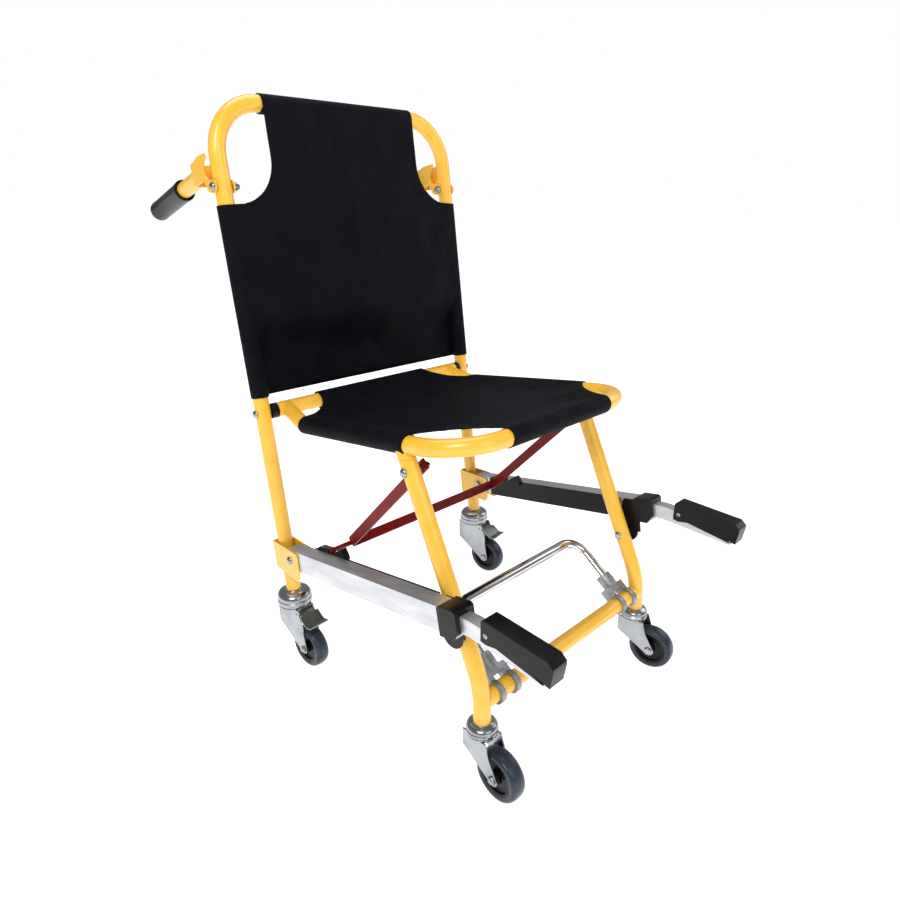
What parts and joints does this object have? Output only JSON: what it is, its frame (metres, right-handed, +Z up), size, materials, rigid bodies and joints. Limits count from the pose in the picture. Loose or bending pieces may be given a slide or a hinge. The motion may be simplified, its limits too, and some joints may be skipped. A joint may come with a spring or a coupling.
{
  "type": "stair chair",
  "caption": "Folding stair chair: tube frame, canvas back and seat, telescoping front handles, rear handles, footrest and swivel casters.",
  "frame": {"origin": "floor level under the middle of the bounding box", "axes": "+Z up, the chair faces -Y, +X to the right for someone looking at it from the front; left in a name is the -X side"},
  "size_m": [0.512, 0.9156, 0.9261],
  "materials": {
    "yellow_paint": "gloss powder coat",
    "red_paint": "satin paint",
    "canvas": "coated woven cloth",
    "black_moulding": "moulded",
    "grip": "moulded",
    "aluminium": "extruded, satin",
    "chrome": "polished",
    "zinc": "bright zinc plate",
    "cast_alloy": "cast, satin",
    "pedal": "pressed sheet",
    "tyre": "smooth polyurethane"
  },
  "bodies": {
    "back_frame": {"back_frame_tube": "yellow_paint", "back_canvas": "canvas", "rail_bracket_left": "yellow_paint", "rail_bracket_right": "yellow_paint", "rail_bolt_left": "zinc", "rail_bolt_right": "zinc", "seat_bolt_left": "zinc", "seat_bolt_right": "zinc", "rear_handle_bolt_left": "zinc", "rear_handle_bolt_right": "zinc", "rear_left_caster_cup": "zinc", "rear_right_caster_cup": "zinc"},
    "seat": {"seat_frame_tube": "yellow_paint", "seat_cross_tube": "yellow_paint", "seat_bush_left": "black_moulding", "seat_bush_right": "black_moulding", "seat_lug_left": "yellow_paint", "seat_lug_right": "yellow_paint", "seat_canvas": "canvas", "leg_bolt_left": "zinc", "leg_bolt_right": "zinc"},
    "front_legs": {"front_leg_left": "yellow_paint", "front_leg_right": "yellow_paint", "front_cross_tube": "yellow_paint", "rail_stud_left": "zinc", "rail_stud_right": "zinc", "front_left_caster_cup": "zinc", "front_right_caster_cup": "zinc"},
    "rail_left": {"rail_left": "aluminium", "rail_channel_left": "black_moulding", "rail_collar_left": "black_moulding"},
    "rail_right": {"rail_right": "aluminium", "rail_channel_right": "black_moulding", "rail_collar_right": "black_moulding"},
    "handle_left": {"handle_tube_left": "aluminium", "handle_grip_left": "grip"},
    "handle_right": {"handle_tube_right": "aluminium", "handle_grip_right": "grip"},
    "brace": {"brace": "red_paint"},
    "footrest": {"footrest_bar": "chrome", "footrest_clamp_left": "cast_alloy", "footrest_clamp_right": "cast_alloy"},
    "rear_handle_left": {"rear_handle_left": "yellow_paint", "rear_grip_left": "grip"},
    "rear_handle_right": {"rear_handle_right": "yellow_paint", "rear_grip_right": "grip"},
    "front_left_fork": {"front_left_fork": "zinc"},
    "front_right_fork": {"front_right_fork": "zinc"},
    "rear_left_fork": {"rear_left_fork": "zinc"},
    "rear_right_fork": {"rear_right_fork": "zinc"},
    "front_left_wheel": {"front_left_wheel_core": "black_moulding", "front_left_tyre": "tyre"},
    "front_right_wheel": {"front_right_wheel_core": "black_moulding", "front_right_tyre": "tyre"},
    "rear_left_wheel": {"rear_left_wheel_core": "black_moulding", "rear_left_tyre": "tyre"},
    "rear_right_wheel": {"rear_right_wheel_core": "black_moulding", "rear_right_tyre": "tyre"},
    "brake_pedal_left": {"brake_pedal_left": "pedal"},
    "brake_pedal_right": {"brake_pedal_right": "pedal"}
  },
  "joints": [
    {"name": "seat_fold", "type": "hinge", "parent": "back_frame", "child": "seat", "pos_m": [0, 0.15032, 0.45079], "axis": [-1, 0, 0], "range_deg": [0, 78]},
    {"name": "front_leg_fold", "type": "hinge", "parent": "seat", "child": "front_legs", "pos_m": [0, -0.17986, 0.433], "axis": [-1, 0, 0], "range_deg": [-87, 0]},
    {"name": "rail_fold_left", "type": "hinge", "parent": "back_frame", "child": "rail_left", "pos_m": [-0.226, 0.08514, 0.211], "axis": [-1, 0, 0], "range_deg": [0, 74]},
    {"name": "rail_fold_right", "type": "hinge", "parent": "back_frame", "child": "rail_right", "pos_m": [0.226, 0.08514, 0.211], "axis": [-1, 0, 0], "range_deg": [0, 74]},
    {"name": "brace_fold", "type": "hinge", "parent": "seat", "child": "brace", "pos_m": [0, -0.17986, 0.433], "axis": [-1, 0, 0], "range_deg": [-36, 0]},
    {"name": "footrest_fold", "type": "hinge", "parent": "front_legs", "child": "footrest", "pos_m": [0, -0.31036, 0.135], "axis": [1, 0, 0], "range_deg": [0, 145]},
    {"name": "handle_slide_left", "type": "slide", "parent": "rail_left", "child": "handle_left", "axis": [0, -0.9854, 0.1702], "range_m": [0, 0.2]},
    {"name": "handle_slide_right", "type": "slide", "parent": "rail_right", "child": "handle_right", "axis": [0, -0.9854, 0.1702], "range_m": [0, 0.2]},
    {"name": "rear_handle_fold_left", "type": "hinge", "parent": "back_frame", "child": "rear_handle_left", "pos_m": [-0.226, 0.19116, 0.79336], "axis": [-1, 0, 0], "range_deg": [0, 80]},
    {"name": "rear_handle_fold_right", "type": "hinge", "parent": "back_frame", "child": "rear_handle_right", "pos_m": [0.226, 0.19116, 0.79336], "axis": [-1, 0, 0], "range_deg": [0, 80]},
    {"name": "front_left_swivel", "type": "hinge", "parent": "front_legs", "child": "front_left_fork", "pos_m": [-0.192, -0.31036, 0.08], "axis": [0, 0, 1], "continuous": true},
    {"name": "front_right_swivel", "type": "hinge", "parent": "front_legs", "child": "front_right_fork", "pos_m": [0.192, -0.31036, 0.08], "axis": [0, 0, 1], "continuous": true},
    {"name": "rear_left_swivel", "type": "hinge", "parent": "back_frame", "child": "rear_left_fork", "pos_m": [-0.226, 0.11314, 0.11], "axis": [0, 0, 1], "continuous": true},
    {"name": "rear_right_swivel", "type": "hinge", "parent": "back_frame", "child": "rear_right_fork", "pos_m": [0.226, 0.11314, 0.11], "axis": [0, 0, 1], "continuous": true},
    {"name": "front_left_wheel_spin", "type": "hinge", "parent": "front_left_fork", "child": "front_left_wheel", "pos_m": [-0.19326, -0.34634, 0.0375], "axis": [0.9994, -0.0349, 0], "continuous": true},
    {"name": "front_right_wheel_spin", "type": "hinge", "parent": "front_right_fork", "child": "front_right_wheel", "pos_m": [0.19825, -0.34582, 0.0375], "axis": [0.9848, 0.1736, 0], "continuous": true},
    {"name": "rear_left_wheel_spin", "type": "hinge", "parent": "rear_left_fork", "child": "rear_left_wheel", "pos_m": [-0.22349, 0.07722, 0.0375], "axis": [0.9976, 0.0698, 0], "continuous": true},
    {"name": "rear_right_wheel_spin", "type": "hinge", "parent": "rear_right_fork", "child": "rear_right_wheel", "pos_m": [0.23163, 0.07758, 0.0375], "axis": [0.9877, 0.1564, 0], "continuous": true},
    {"name": "brake_left", "type": "hinge", "parent": "rear_left_fork", "child": "brake_pedal_left", "pos_m": [-0.22429, 0.0887, 0.1019], "axis": [0.9976, 0.0698, 0], "range_deg": [0, 14]},
    {"name": "brake_right", "type": "hinge", "parent": "rear_right_fork", "child": "brake_pedal_right", "pos_m": [0.22983, 0.08894, 0.1019], "axis": [0.9877, 0.1564, 0], "range_deg": [0, 14]}
  ],
  "couplings": [
    {"joint": "front_leg_fold", "follows": "seat_fold", "ratio": -1.1},
    {"joint": "rail_fold_left", "follows": "seat_fold", "ratio": 0.92},
    {"joint": "rail_fold_right", "follows": "seat_fold", "ratio": 0.92},
    {"joint": "brace_fold", "follows": "seat_fold", "ratio": -0.44}
  ]
}
